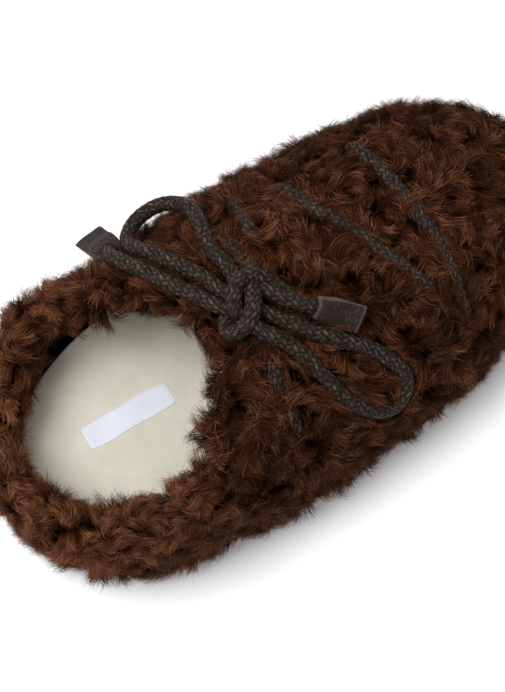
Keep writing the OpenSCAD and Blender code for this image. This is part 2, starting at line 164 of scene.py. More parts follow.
def sunk_lace(line):
    """A held lace sinks with the pile where the leaning fur lies lower than the CAD surface."""
    s = plan_s(line[:, 0], 0)
    lean = line[:, 1] - settled(line)[:, 1]
    height = [vamp_point(s, np.clip((y - mid_y(s)) / half_w(s, 0), -1, 1), 0)[:, 2]
              for y in (line[:, 1], line[:, 1] + lean)]
    line = line.copy()
    line[:, 2] -= np.clip(height[0] - height[1], 0, None) + 0.7 * MM
    return line


def placed(name, data):
    obj = bpy.data.objects.new(name, data)
    bpy.context.scene.collection.objects.link(obj)
    return obj


# ---- camera ----


def add_camera():
    azimuth, elevation, roll = map(math.radians, (-30.2, 68.7, -5.4))
    target = Vector((-17.3, -6.9, 40)) * MM
    away = Vector((
        math.sin(azimuth) * math.cos(elevation),
        -math.cos(azimuth) * math.cos(elevation),
        math.sin(elevation),
    ))
    data = bpy.data.cameras.new("camera")
    data.sensor_width = 36
    data.lens = 128.3 * 505 / 692
    data.clip_start = 0.05
    cam = placed("camera", data)
    turn = (-away).to_track_quat("-Z", "Y")
    cam.location = target + away * 0.731
    cam.rotation_euler = turn.to_euler()
    cam.rotation_euler.rotate_axis("Z", roll)
    bpy.context.scene.camera = cam


add_camera()

# ---- materials ----


class Shader:
    """A material with one Principled shader, and short ways to add and link nodes."""

    def __init__(self, name, rough=0.8, specular=0.3, sheen=0.0, metallic=0.0):
        self.material = bpy.data.materials.new(name)
        self.material.use_nodes = True
        self.tree = self.material.node_tree
        self.bsdf = self.tree.nodes["Principled BSDF"]
        for socket, value in (("Roughness", rough), ("Specular IOR Level", specular),
                              ("Metallic", metallic), ("Sheen Weight", sheen),
                              ("Sheen Roughness", 0.5)):
            self.bsdf.inputs[socket].default_value = value

    def add(self, kind, **values):
        node = self.tree.nodes.new("ShaderNode" + kind)
        for key, value in values.items():
            if key in node.inputs:
                node.inputs[key].default_value = value
            else:
                setattr(node, key, value)
        return node

    def link(self, output, socket):
        self.tree.links.new(output, socket)

    def feed(self, socket, value):
        """Links the socket to an output, or sets it to a number or a colour."""
        if isinstance(value, bpy.types.NodeSocket):
            self.link(value, socket)
        else:
            socket.default_value = (*value, 1) if isinstance(value, tuple) else value

    def coords(self, scale=(1, 1, 1), turn=(0, 0, 0)):
        mapping = self.add("Mapping", Scale=scale, Rotation=turn)
        self.link(self.add("TexCoord").outputs["Object"], mapping.inputs["Vector"])
        return mapping.outputs["Vector"]

    def noise(self, scale, detail=4, rough=0.6, vector=None):
        node = self.add("TexNoise", Scale=scale, Detail=detail, Roughness=rough)
        self.link(vector or self.coords(), node.inputs["Vector"])
        return node.outputs["Fac"]

    def ramp(self, fac, *stops):
        node = self.add("ValToRGB")
        elements = node.color_ramp.elements
        while len(elements) < len(stops):
            elements.new(0.5)
        for element, (place, colour) in zip(elements, stops):
            element.position = place
            element.color = (*colour, 1)
        self.link(fac, node.inputs["Fac"])
        return node.outputs["Color"]

    def mix(self, fac, a, b, blend="MIX"):
        node = self.add("Mix", data_type="RGBA", blend_type=blend)
        for number, value in ((0, fac), (6, a), (7, b)):
            self.feed(node.inputs[number], value)
        return node.outputs[2]

    def math(self, operation, a, b=0.0):
        node = self.add("Math", operation=operation)
        for socket, value in zip(node.inputs, (a, b)):
            self.feed(socket, value)
        return node.outputs[0]

    def weighed(self, *parts):
        """The sum of (output, weight) pairs."""
        first, *rest = (self.math("MULTIPLY", output, weight) for output, weight in parts)
        for part in rest:
            first = self.math("ADD", first, part)
        return first

    def colour(self, output):
        self.link(output, self.bsdf.inputs["Base Color"])

    def roughness(self, fac, low, high):
        node = self.add("MapRange", **{"To Min": low, "To Max": high})
        self.link(fac, node.inputs["Value"])
        self.link(node.outputs[0], self.bsdf.inputs["Roughness"])

    def bump(self, height, depth):
        node = self.add("Bump", Strength=1.0, Distance=depth)
        self.link(height, node.inputs["Height"])
        self.link(node.outputs[0], self.bsdf.inputs["Normal"])


def srgb(r, g, b):
    """Linear colour from the usual 0 to 255 screen values."""
    return tuple(c / 255 / 12.92 if c < 11 else ((c / 255 + 0.055) / 1.055) ** 2.4
                 for c in (r, g, b))


def fur_material(name, root, dull, bright, tip):
    """Strand colour from the strand's own map: across is its shade, along runs root to tip: dark
    roots are painted shade deep in the pile, light tips the fur's tipping and partly a painted
    highlight.
    """
    m = Shader(name, rough=0.6, specular=0.02)
    split = m.add("SeparateXYZ")
    m.link(m.add("UVMap", uv_map=UV_LAYER).outputs[0], split.inputs[0])
    along, shade = split.outputs["Y"], split.outputs["X"]
    middle = tuple(0.65 * a + 0.35 * b for a, b in zip(dull, bright))
    body = m.ramp(shade, (0.0, dull), (0.5, middle), (1.0, bright))
    ends = m.ramp(shade, (0.1, dull), (0.5, bright), (1.0, tip))
    black, white = (0, 0, 0), (1, 1, 1)
    # light tips: the fur's tipping and partly a painted highlight
    outer = m.mix(m.ramp(along, (0.6, black), (1.0, white)), body, ends)
    # dark lower part of each strand: painted shade deep in the pile
    lit = m.ramp(along, (0.05, black), (0.25, (0.2, 0.2, 0.2)), (0.65, white))
    m.colour(m.mix(lit, root, outer))
    return m.material


def pelt_material():
    m = Shader("pelt", rough=0.95, specular=0.02)
    grain = m.noise(900)
    m.colour(m.ramp(grain, (0.3, srgb(18, 9, 5)), (0.7, srgb(46, 24, 14))))
    m.bump(grain, 0.6 * MM)
    return m.material


def lace_material():
    """Charcoal-brown yarn: the braid's shade (painted highlight on the yarn crowns, painted shade
    in the hollows between them) and its twisted fibres come from the mesh.
    """
    m = Shader("lace_yarn", rough=0.5, specular=0.05)
    shade = m.add("Attribute", attribute_name="shade").outputs["Fac"]
    twist = m.add("Attribute", attribute_name="twist").outputs["Vector"]
    fibre = m.noise(1800, detail=4, rough=0.65, vector=twist)
    level = m.weighed((shade, 0.4), (fibre, 0.8))
    m.colour(m.ramp(level, (0.36, srgb(8, 6, 6)), (0.52, srgb(22, 17, 15)),
                    (0.68, srgb(43, 35, 31)), (0.9, srgb(100, 87, 79))))
    m.bump(fibre, 0.25 * MM)
    return m.material


def plush_material(name, low, high, nap=0.25 * MM):
    """Short dense nap: soft blotches where it was brushed, and a fine fibre grain."""
    m = Shader(name, rough=0.95, specular=0.15, sheen=0.4)
    blotch = m.noise(45, detail=3)
    grain = m.noise(1500, detail=5, rough=0.7)
    tint = m.ramp(blotch, (0.3, low), (0.7, high))
    m.colour(m.mix(m.ramp(grain, (0.3, (0.92, 0.915, 0.9)), (0.7, (1, 1, 1))), (0, 0, 0), tint))
    m.bump(m.weighed((grain, 1.0), (blotch, 1.5)), nap)
    return m.material


def leather_material():
    """Dark brushed leather: a hair-fine grain, paler along its edges and ends, partly from wear and
    partly a painted highlight.
    """
    m = Shader("tab_leather", rough=0.6, specular=0.05)
    wear_and_highlight = m.add("Attribute", attribute_name="wear_and_highlight").outputs["Fac"]
    hairs = m.noise(1, detail=4, rough=0.7, vector=m.coords(scale=(900, 2600, 2600)))
    cloud = m.noise(160)
    level = m.weighed((hairs, 0.8), (cloud, 0.3), (wear_and_highlight, 0.22))
    m.colour(m.ramp(level, (0.35, srgb(22, 17, 17)), (0.58, srgb(44, 36, 35)),
                    (0.82, srgb(92, 80, 75))))
    m.roughness(cloud, 0.5, 0.7)
    m.bump(hairs, 0.15 * MM)
    return m.material


WAVE_PER_M = 0.314  # a wave texture's scale for one band per metre


def weave_material(name, low, high, pitch, depth, turn=0.0, rough=0.8, specular=0.25, sheen=0.2):
    """Plain weave: two crossed sets of yarns, pitch apart."""
    m = Shader(name, rough=rough, specular=specular, sheen=sheen)
    vector = m.coords(turn=(0, 0, turn))
    waves = []
    for direction in ("X", "Y"):
        wave = m.add("TexWave", bands_direction=direction, Scale=WAVE_PER_M / pitch,
                     Distortion=0.6, **{"Detail Scale": 2})
        m.link(vector, wave.inputs["Vector"])
        waves.append(wave.outputs["Fac"])
    weave = m.math("MULTIPLY", waves[0], waves[1])
    cloud = m.noise(120)
    level = m.weighed((weave, 0.6), (cloud, 0.4))
    m.colour(m.ramp(level, (0.1, low), (0.7, high)))
    m.bump(weave, depth)
    return m.material


def grained_material(name, low, high, scale, depth, rough=0.7, metallic=0.0, specular=0.4):
    m = Shader(name, rough=rough, metallic=metallic, specular=specular)
    grain = m.noise(scale, detail=6)
    cloud = m.noise(scale / 12)
    m.colour(m.mix(m.ramp(grain, (0.35, (0.8, 0.8, 0.8)), (0.65, (1, 1, 1))), (0, 0, 0),
                   m.ramp(cloud, (0.3, low), (0.7, high))))
    m.roughness(cloud, rough - 0.08, min(1, rough + 0.1))
    m.bump(grain, depth)
    return m.material


MATERIALS = {
    "fur": fur_material("fur_strand", srgb(8, 3, 2), srgb(24, 10, 5), srgb(105, 60, 36),
                        srgb(190, 136, 102)),
    "pelt": pelt_material(),
    "lace": lace_material(),
    "sock_plush": plush_material("sock_plush", srgb(194, 191, 176), srgb(207, 204, 190)),
    "vamp_plush": plush_material("vamp_plush", srgb(188, 182, 164), srgb(206, 200, 182)),
    "leather": leather_material(),
    "label": weave_material("label_weave", srgb(200, 202, 213), srgb(222, 223, 232), 0.5 * MM,
                            0.07 * MM, turn=math.radians(5.5), rough=0.6),
    "label_thread": weave_material("label_thread", srgb(190, 192, 200), srgb(222, 224, 230),
                                   0.3 * MM, 0.05 * MM, turn=0.8),
    "lining_black": weave_material("lining_knit", srgb(8, 7, 7), srgb(26, 24, 24), 0.9 * MM,
                                   0.2 * MM, specular=0.03, sheen=0.0),
    "tab_thread": weave_material("tab_thread", srgb(20, 17, 17), srgb(60, 52, 50), 0.3 * MM,
                                 0.05 * MM, turn=0.8, specular=0.05, sheen=0.0),
    "outsole_rubber": grained_material("outsole_rubber", srgb(38, 31, 28), srgb(52, 43, 38), 1400,
                                       0.1 * MM, rough=0.75),
    "midsole_foam": grained_material("midsole_foam", srgb(62, 42, 32), srgb(74, 52, 40), 700,
                                     0.12 * MM, rough=0.85),
    "foam": grained_material("cushion_foam", srgb(214, 206, 180), srgb(226, 219, 196), 600,
                             0.3 * MM, rough=0.95),
    "foam_dark": grained_material("collar_foam", srgb(42, 35, 31), srgb(58, 49, 44), 600, 0.3 * MM,
                                  rough=0.95, specular=0.05),
    "fibre_board": grained_material("fibre_board", srgb(150, 124, 92), srgb(170, 142, 108), 500,
                                    0.15 * MM, rough=0.9),
    "stiffener": grained_material("stiffener", srgb(190, 182, 160), srgb(204, 196, 176), 300,
                                  0.05 * MM, rough=0.55),
    "eyelet": grained_material("eyelet_metal", srgb(168, 166, 162), srgb(196, 194, 190), 900,
                               0.02 * MM, rough=0.38, metallic=1.0, specular=0.5),
}

# ---- mesh helpers ----


def add_mesh(name, points, faces, material, body):
    mesh = bpy.data.meshes.new(name)
    mesh.from_pydata([tuple(p) for p in np.asarray(points, float)], [], faces)
    mesh.polygons.foreach_set("use_smooth", [True] * len(mesh.polygons))
    mesh.materials.append(material)
    obj = placed(name, mesh)
    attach(obj, body)
    return obj


def note(obj, name, kind, values):
    """One value per vertex, for the material to read."""
    field = "vector" if kind == "FLOAT_VECTOR" else "value"
    attribute = obj.data.attributes.new(name, kind, "POINT")
    attribute.data.foreach_set(field, values.astype(np.float32).ravel())


def grid_faces(rows, cols, wrap=False, base=0):
    """Quads of a grid of points; wrap joins the last column to the first."""
    i, j = np.meshgrid(np.arange(rows - 1), np.arange(cols if wrap else cols - 1), indexing="ij")
    k = (j + 1) % cols
    quads = np.stack([i * cols + j, i * cols + k, (i + 1) * cols + k, (i + 1) * cols + j], axis=-1)
    return (quads.reshape(-1, 4) + base).tolist()


def tube_faces(rows, cols, base=0):
    """A grid of points closed round to a tube, with a cap on each end."""
    first, last = ([end + k for k in range(cols)] for end in (base, base + (rows - 1) * cols))
    return grid_faces(rows, cols, wrap=True, base=base) + [first[::-1], last]


def turned(faces):
    return [face[::-1] for face in faces]


def unit(v):
    return v / np.maximum(np.linalg.norm(v, axis=-1, keepdims=True), 1e-12)


# ---- laces ----

BRAID_CARRIERS = 8
BRAID_PITCH = 2.7 * MM
BRAID_TWIST = 0.16 / MM
BRAID_AROUND = 48
BRAID_STEP = 0.3 * MM

ROUTES = {
    "lace_bar_toe": [
        (59, 30, 60.5), (60, 32, 65), (61, 29.5, 69.5), (62, 19, 71.5), (62.5, 9, 72.2),
        (62.5, -2, 72.4), (62.5, -13, 71.9), (62, -24, 70.3), (60.5, -34, 67.3), (58, -44, 62),
        (55.5, -51, 56), (54, -50.5, 51), (53, -47, 48.5)],
    "lace_bar_middle": [
        (22.5, 30, 66), (23, 32, 70.5), (24.5, 29, 75.5), (28, 16, 77.9), (32, 5, 77.9),
        (36, -6, 77.2), (40, -17, 75.8), (44, -28, 72.8), (47, -35.5, 69.3), (47.5, -37, 65),
        (46.5, -34.5, 60.5)],
    "lace_bar_instep": [
        (-10, 24, 71.5), (-10, 25, 76), (-9, 21, 80.8), (-8, 8, 82.8), (-4.5, -3, 82.6),
        (0, -17, 81.3), (3.5, -24.5, 79.3), (4.5, -26, 75), (4, -24.5, 70.5)],
    "lace_bar_side": [
        (5.5, 36, 65), (6, 38.5, 69.5), (5, 34, 75.5), (3.5, 27, 78.5), (2, 19.5, 80.5),
        (1.5, 16.5, 77), (1.5, 16.5, 72.5)],
    "lace_lead": [
        (-23.5, -17, 79.5), (-23.5, -27.5, 79.9), (-24.5, -34, 77.6), (-25.5, -43.5, 70.8),
        (-27, -51.5, 61), (-27, -53, 55.5), (-26.5, -49.5, 51)],
    "left_loop": [
        (-20.5, -2.5, 87.5), (-23.5, 4.5, 87.2), (-25.5, 12, 87.2), (-29.5, 21, 86),
        (-33.5, 30.5, 83.2), (-37, 39, 78.7), (-38.5, 47, 72.2), (-34, 53, 68.7),
        (-27, 56, 67.5), (-18.5, 55.5, 68), (-12.5, 50.5, 71), (-10.5, 43, 75.5),
        (-12, 34, 80.7), (-14.5, 26, 84), (-16, 18, 86), (-15.5, 10, 87.2), (-16.5, 2, 88)],
    "right_loop": [
        (-17.5, -8.5, 87), (-14, -15.5, 86.2), (-9, -22, 84.5), (-2.5, -31, 81.6),
        (5, -38.5, 77.7), (12.5, -45.5, 72.6), (18, -52.5, 65.8), (20.5, -58, 58.5),
        (17.5, -62, 52.2), (10.5, -63.5, 48.5), (2.5, -61.2, 53.3), (-4, -56, 62),
        (-8, -47.5, 71.5), (-10.5, -38, 78.8), (-14.5, -28.5, 84), (-20, -21, 88.5),
        (-22.5, -13.5, 88.5)],
    "left_tail": [
        (-24, -6.5, 87), (-28, -1.5, 87.6), (-33, 8, 87.8), (-37, 16, 87.2), (-41, 26, 85.2),
        (-45.5, 38, 79.6), (-47, 46, 73.2), (-46, 51.5, 67.8), (-46.6, 60, 61)],
    "right_tail": [
        (-14, -2.5, 88.5), (-9.5, -8, 88.7), (-7, -12.5, 88.7), (-3, -18, 88.2),
        (1.5, -23, 87), (9, -30.3, 82.8)],
}
ROUTES = {name: np.array(points) * MM for name, points in ROUTES.items()}


def smooth_line(points, step):
    """Evenly spaced points on a smooth curve through the given ones."""
    p = np.asarray(points, float)
    ends = np.vstack([2 * p[0] - p[1], p, 2 * p[-1] - p[-2]])
    t = np.linspace(0, 1, 24, endpoint=False)[:, None]
    line = []
    for a, b, c, d in zip(ends, ends[1:], ends[2:], ends[3:]):
        line.append(0.5 * (2 * b + (c - a) * t + (2 * a - 5 * b + 4 * c - d) * t**2
                           + (3 * b - a - 3 * c + d) * t**3))
    line = np.vstack(line + [p[-1:]])
    run = np.r_[0, np.cumsum(np.linalg.norm(np.diff(line, axis=0), axis=1))]
    at = np.linspace(0, run[-1], max(3, int(round(run[-1] / step)) + 1))
    return np.stack([np.interp(at, run, line[:, k]) for k in range(3)], axis=1)


def line_length(line):
    return float(np.linalg.norm(np.diff(line, axis=0), axis=1).sum())


def carried_frames(line):
    """Two directions across the line, which never starts upright, that don't twist along it."""
    along = unit(np.gradient(line, axis=0))
    across = np.zeros_like(line)
    across[0] = unit(np.cross(along[0], UP))
    for i in range(1, len(line)):
        v = across[i - 1] - along[i] * (across[i - 1] @ along[i])
        across[i] = v / np.linalg.norm(v)
    return across, np.cross(along, across)


def braided(name, line, radius, body, taper=(1.0, 1.0), taper_run=2.5 * MM):
    """A round braid: yarns wind both ways round the line and pass over two, under two."""
    n = len(line)
    u, w = carried_frames(line)
    run = np.arange(n) * line_length(line) / (n - 1)
    theta = 2 * math.pi * np.arange(BRAID_AROUND) / BRAID_AROUND
    run_g, theta_g = np.meshgrid(run, theta, indexing="ij")
    turn = BRAID_CARRIERS * theta_g / (2 * math.pi)
    p, q = turn + run_g / BRAID_PITCH, turn - run_g / BRAID_PITCH
    ip, iq = np.floor(p), np.floor(q)
    over = (ip - iq) % 4 < 2
    across = np.where(over, p - ip, q - iq)
    float_run = np.where(over, ((q - ip + 1) % 4) / 2, ((p - iq - 2) % 4) / 2)
    crown = np.sqrt(np.clip(1 - 0.95 * (2 * across - 1) ** 2, 0, 1))
    height = crown * (0.55 + 0.45 * np.sin(math.pi * np.clip(float_run, 0, 1)))
    yarn = np.where(over, ip * 3.17 + np.floor(q / 2) * 1.31, iq * 5.23 + np.floor(p / 2) * 2.71)
    tone = np.abs(np.sin(yarn * 12.9898) * 43758.5453) % 1
    ply = 0.5 + 0.5 * np.sin(across * 6 * math.pi + tone * 9)
    # shade: painted highlight on the crowns of the yarns and painted shade in the hollows between
    # them, with a random tone per yarn and ply lines
    shade = np.clip(0.12 + 0.5 * height + 0.22 * tone * height + 0.16 * ply * height, 0, 1)
    ease = np.ones(n)
    for end, size in enumerate(taper):
        dist = run if end == 0 else run[-1] - run
        ease = np.minimum(ease, size + (1 - size) * smooth(dist / taper_run))
    r = radius * (0.88 + 0.14 * height) * ease[:, None]
    ring = np.cos(theta_g)[..., None] * u[:, None] + np.sin(theta_g)[..., None] * w[:, None]
    points = (line[:, None] + r[..., None] * ring).reshape(-1, 3)
    obj = add_mesh(name, points, tube_faces(n, BRAID_AROUND), MATERIALS["lace"], body)
    note(obj, "shade", "FLOAT", shade)
    spun = theta_g - BRAID_TWIST * run_g
    twist = np.stack([radius * np.cos(spun), radius * np.sin(spun), 0.16 * run_g], axis=-1)
    note(obj, "twist", "FLOAT_VECTOR", twist)
    unroll(obj, n)
    return obj


def unroll(obj, rows):
    """The tube's skin laid flat in side-by-side strips, so that its finish can be baked."""
    strips = max(1, round(math.sqrt(rows * BRAID_STEP / (math.pi * LACE_D))))
    per = math.ceil((rows - 1) / strips)
    i, j = (part[:, None] for part in np.divmod(np.arange((rows - 1) * BRAID_AROUND), BRAID_AROUND))
    u = (i // per + 0.02 + 0.96 * (j + np.array([0, 1, 1, 0])) / BRAID_AROUND) / strips
    v = 0.01 + 0.98 * (i % per + np.array([0, 0, 1, 1])) / per
    caps = np.full((2 * BRAID_AROUND, 2), 0.005)
    flat = np.vstack([np.stack([u, v], axis=-1).reshape(-1, 2), caps])
    obj.data.uv_layers.new(name=UV_LAYER).data.foreach_set("uv", flat.astype(np.float32).ravel())


def add_held_laces():
    for name in (name for name in ROUTES if name.startswith("lace_")):
        line = sunk_lace(smooth_line(ROUTES[name], BRAID_STEP))
        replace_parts(braided(name + "_braid", line, LACE_D / 2, "slipper"), name)


def add_bow_strands():
    """The two loops and the two free ends, each a braided cord on a body of its own."""
    for name in ("left_loop", "right_loop", "left_tail", "right_tail"):
        line = smooth_line(ROUTES[name], BRAID_STEP)
        loop = name.endswith("loop")
        obj = braided(name + "_braid", line, LACE_D / 2, name, taper=(1.0, 1.0 if loop else 0.25),
                      taper_run=12 * MM)
        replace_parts(obj, name)


# the knot: one turn of lace curves round the left of the crossing, the other hooks under it
KNOT_TURNS = [
    [(-6, -9, 85), (-7.5, -4.2, 88), (-10, -0.8, 90.6), (-14.5, 0.4, 92.4), (-19.3, -1.6, 92.8),
     (-22.6, -5.6, 91.4), (-24, -9.8, 88.6), (-22, -13, 85.5)],
    [(-14, 0.5, 86), (-13.3, -2.8, 89.3), (-16, -8.6, 92.4), (-20, -13.6, 93),
     (-24.6, -15.9, 91.6), (-28.8, -15.2, 89.2), (-30.4, -11.6, 86.3), (-28, -7.2, 84.6)],
]


def add_knot():
    turns = []
    for i, points in enumerate(KNOT_TURNS):
        line = smooth_line(np.array(points) * MM, BRAID_STEP)
        turns.append(braided(f"knot_turn_{i + 1}", line, LACE_D * 0.53, "slipper"))
    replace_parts(turns[0], "bow_knot")


# ---- tabs on the lace ends ----


def add_tab(name, at, direction, across, root_w, end_w, length):
    """A folded strip of leather round the lace end: round where it grips, flat at its end."""
    at, direction, across = (np.asarray(v, float) for v in (at, direction, across))
    direction = unit(direction)
    across = unit(across - direction * (across @ direction))
    normal = np.cross(direction, across)
    along_n, round_n = 26, 40
    grip, flat = LACE_D / 2 + 0.75 * MM, 1.15 * MM
    rows = []
    for i in range(along_n + 1):
        t = i / along_n
        half = (root_w + (end_w - root_w) * smooth(t / 0.5)) / 2
        thick = flat + (grip - flat) * (1 - smooth((t - 0.08) / 0.62))
        ring = []
        for k in range(round_n):
            a = 2 * math.pi * k / round_n
            c, s = math.cos(a), math.sin(a)
            fold = 1 + smooth(t / 0.5) * (0.6 * smooth(c) - 0.5 * smooth(-c))
            y = half * np.sign(c) * abs(c) ** 0.6
            z = thick * np.sign(s) * abs(s) ** 0.6 * fold
            sway = 0.7 * MM * math.sin(3 * t) * (1 if c > 0 else 0.3)
            ring.append(at + direction * length * t + across * y + normal * (z + sway * t))
        rows.append(ring)
    # the end shows the strip's two layers with a slit between them
    last = np.array(rows[-1])
    centre = last.mean(0)
    for squeeze, depth in ((0.72, 0.15 * MM), (0.45, 0.0), (0.3, -0.9 * MM)):
        inner = centre + (last - centre) @ (
            np.outer(across, across) * (1 - (1 - squeeze) * 0.25)
            + np.outer(normal, normal) * squeeze) + direction * depth
        rows.append(inner)
    points = np.array(rows).reshape(-1, 3)
    count = len(rows)
    side = name.split("_")[0]
    obj = add_mesh(name, points, tube_faces(count, round_n), MATERIALS["leather"], side + "_tail")
    round_share = np.abs(np.cos(2 * math.pi * np.arange(round_n) / round_n))[None, :]
    long_share = np.clip(np.arange(count) / along_n, 0, 1)[:, None]
    # paler along the tab's two edges, its end and its grip: wear, and partly a painted highlight on
    # the folded edges
    wear_and_highlight = np.maximum(smooth((round_share - 0.9) / 0.1), smooth((long_share - 0.93) / 0.07))
    wear_and_highlight = np.maximum(wear_and_highlight, 0.7 * smooth((0.06 - long_share) / 0.05))
    note(obj, "wear_and_highlight", "FLOAT", wear_and_highlight)
    modifier = obj.modifiers.new("rounded", "SUBSURF")
    modifier.levels = modifier.render_levels = 1
    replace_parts(obj, side + "_tab")
    add_tab_stitches(side, at, direction, across, normal, length, root_w, grip)
    return obj


def add_tab_stitches(side, at, direction, across, normal, length, root_w, grip):
    """The row of thread across the tab where it closes behind the lace end."""
    seam, count, stitch = 0.16, 5, 1.3 * MM
    points, faces = [], []
    for face in (-1, 1):
        for k in range(count):
            y = (k - (count - 1) / 2) * root_w / (count + 0.6)
            z = face * (grip - 0.15 * MM) * (1 - 0.35 * (2 * y / root_w) ** 2)
            centre = at + direction * length * seam + across * y + normal * z
            add_capsule(points, faces, centre, across, normal, stitch / 2, 0.26 * MM)
    obj = add_mesh(side + "_tab_thread", np.array(points), faces, MATERIALS["tab_thread"],
                   side + "_tail")
    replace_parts(obj, side + "_tab_stitches")


def add_capsule(points, faces, centre, along, up, half, r):
    """One round-ended stitch, added to a list of points and faces."""
    side = np.cross(along, up)
    base, rings, round_n = len(points), 7, 8
    for i in range(rings):
        a = math.pi * (i + 0.5) / rings
        for k in range(round_n):
            b = 2 * math.pi * k / round_n
            flat = np.array([math.cos(b), 0.6 * math.sin(b)]) * r * math.sin(a) ** 0.6
            points.append(centre - along * half * math.cos(a) + side * flat[0] + up * flat[1])
    faces += turned(tube_faces(rings, round_n, base))


def add_tabs():
    left = np.array([-1, 14.2, -11.5])
    toeward = np.array([1.0, 0, 0])
    add_tab("left_tab_leather", np.array([-45.8, 51, 68.2]) * MM, left, toeward,
            12.4 * MM, 13.4 * MM, 19.8 * MM)
    right = unit(np.array([12.5, -12, -7]))
    level = unit(np.cross(UP, right))
    lean = math.radians(40)
    add_tab("right_tab_leather", np.array([2.3, -23.8, 86.6]) * MM, right,
            math.cos(lean) * level + math.sin(lean) * np.cross(right, level),
            8.6 * MM, 11.6 * MM, 19 * MM)


add_tabs()
add_bow_strands()
add_held_laces()
add_knot()

# ---- fur ----

STRAND_POINTS = 7
PELT_DEPTH = 5.4 * MM
STRANDS_PER_PIECE = 15000
STRAY_SHARE = 0.03


class Patch:
    """A grid of points over one stretch of the fur's surface, with outward normals."""

    def __init__(self, points):
        points = settled(points)
        self.points = points
        du, dv = np.gradient(points, axis=0), np.gradient(points, axis=1)
        self.normals = unit(np.cross(du, dv))
        a, b = points[1:, :-1] - points[:-1, :-1], points[:-1, 1:] - points[:-1, :-1]
        self.area = np.linalg.norm(np.cross(a, b), axis=-1)

    def at(self, i, j, grid):
        i0, j0 = i.astype(int), j.astype(int)
        fi, fj = (i - i0)[:, None], (j - j0)[:, None]
        i1, j1 = i0 + 1, j0 + 1
        return ((grid[i0, j0] * (1 - fi) + grid[i1, j0] * fi) * (1 - fj)
                + (grid[i0, j1] * (1 - fi) + grid[i1, j1] * fi) * fj)

    def scatter(self, spacing):
        """Points about spacing apart: thrown at random, then thinned out."""
        share = self.area.ravel() / self.area.sum()
        count = int(4.5 * self.area.sum() / spacing**2)
        cell = rng.choice(len(share), size=count, p=share)
        cols = self.area.shape[1]
        i, j = cell // cols + rng.random(count), cell % cols + rng.random(count)
        p, n = self.at(i, j, self.points), unit(self.at(i, j, self.normals))
        kept, cells = [], {}
        keys = np.floor(p / spacing).astype(int)
        limit = (0.82 * spacing) ** 2
        around = [(a, b, c) for a in (-1, 0, 1) for b in (-1, 0, 1) for c in (-1, 0, 1)]
        for k, key in enumerate(map(tuple, keys)):
            near = (m for a, b, c in around
                    for m in cells.get((key[0] + a, key[1] + b, key[2] + c), ()))
            if all(((p[k] - p[m]) ** 2).sum() > limit for m in near):
                kept.append(k)
                cells.setdefault(key, []).append(k)
        return p[kept], n[kept]

    def pelt(self, name, node):
        rows, cols = self.points.shape[:2]
        ripple = rng.normal(0, 0.25 * MM, (rows, cols, 1))
        points = self.points - self.normals * (PELT_DEPTH + ripple)
        obj = add_mesh(name, points.reshape(-1, 3), turned(grid_faces(rows, cols)),
                       MATERIALS["pelt"], "slipper")
        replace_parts(obj, node)


def set_back(tau):
    """How far toeward of the CAD model's throat the rolled fur edge lies."""
    return (3 - 5.5 * np.clip(tau / 0.6, -1, 1)) * MM


def vamp_patch():
    """The vamp from inside the throat, over its rolled edge, to the toe."""
    cols, rows = 150, 150
    tau = np.sin(np.linspace(-0.5, 0.5, cols) * math.pi)[None, :]
    # the edge rolls in over the throat, but runs straight under the collar at the sides
    rolls = 1 - smooth((np.abs(tau) - 0.74) / 0.14)
    lip_r, lip_n = 2.5 * MM + 5.5 * MM * rolls, 14
    psi = np.linspace(1, 0, lip_n, endpoint=False)[:, None] * (0.7 + 1.5 * rolls)
    lip_g = lip_r * (1 - np.cos(psi))
    edge = throat_edge(tau) + set_back(tau) * rolls
    lip = vamp_point(plan_s(edge + lip_r * (1 - np.sin(psi)), lip_g), tau, lip_g)
    v = np.sin(np.linspace(0, 0.5, rows) * math.pi)[:, None] * 0.9995
    first = plan_s(edge + lip_r, 0.0)
    return Patch(np.vstack([lip, vamp_point(first + (1 - first) * v, tau, 0.0)]))


def collar_patch():
    """The collar from the feather line, up the outside, over the rim and down inside."""
    rows, past_seam = 180, 0.03
    a = np.linspace(-past_seam, 1 + past_seam, rows)[:, None]
    # how far in, share of the way up the outside, and height above where the rim starts to roll
    section = np.array([
        (1.2, 0, 0), (0.2, 4, 0), (0, 10, 0), (0, 16, 0), (0, 20, 0), (0.6, 20, 4.5),
        (2, 20, 8.5), (4.6, 20, 12), (8, 20, 14), (11.5, 20, 13.8), (15, 20, 12.2),
        (17.6, 20, 9), (18.6, 20, 5), (18.6, 20, 0), (17.6, 20, -4)]) * MM
    line = smooth_line(section, 1.2 * MM)
    g, share, over = (line[:, k][None, :] for k in range(3))
    # round the heel and the outer side the inner face stands more upright
    upright = smooth((a - 0.3) / 0.2) * smooth((1.06 - a) / 0.12)
    gap = 4.5 * np.exp(-(((a - 0.13) / 0.05) ** 2)) + 3 * np.exp(-(((a - 0.42) / 0.03) ** 2))
    g = g - (2.8 * upright + gap) * MM * smooth((g - 8 * MM) / (8 * MM))
    z = FEATHER_Z + (rim_z(a) - ROLL - FEATHER_Z) * np.clip(share / (20 * MM), 0, 1) + over
    side = np.where(a < 0.5, 1.0, -1.0)
    seam = np.where(a < 0.5, throat_edge(SEAM_TAU), throat_edge(-SEAM_TAU))
    s = plan_s(seam, g) * (1 - np.cos(math.pi * (a - 0.5)))
    points = plan_point(s, side, g, z)
    # near the seams the wall leans in to meet the side of the vamp
    ridge = INSTEP_H - FEATHER_Z
    lean = (1 - np.clip((z - FEATHER_Z) / ridge, 0, 1) ** 2.1) ** (1 / 2.6)
    blend = smooth((np.abs(2 * a - 1) - 0.7) / 0.3) * SEAM_LEAN
    points[..., 1] -= side * half_w(s, g) * (1 - lean) * blend
    return Patch(points)


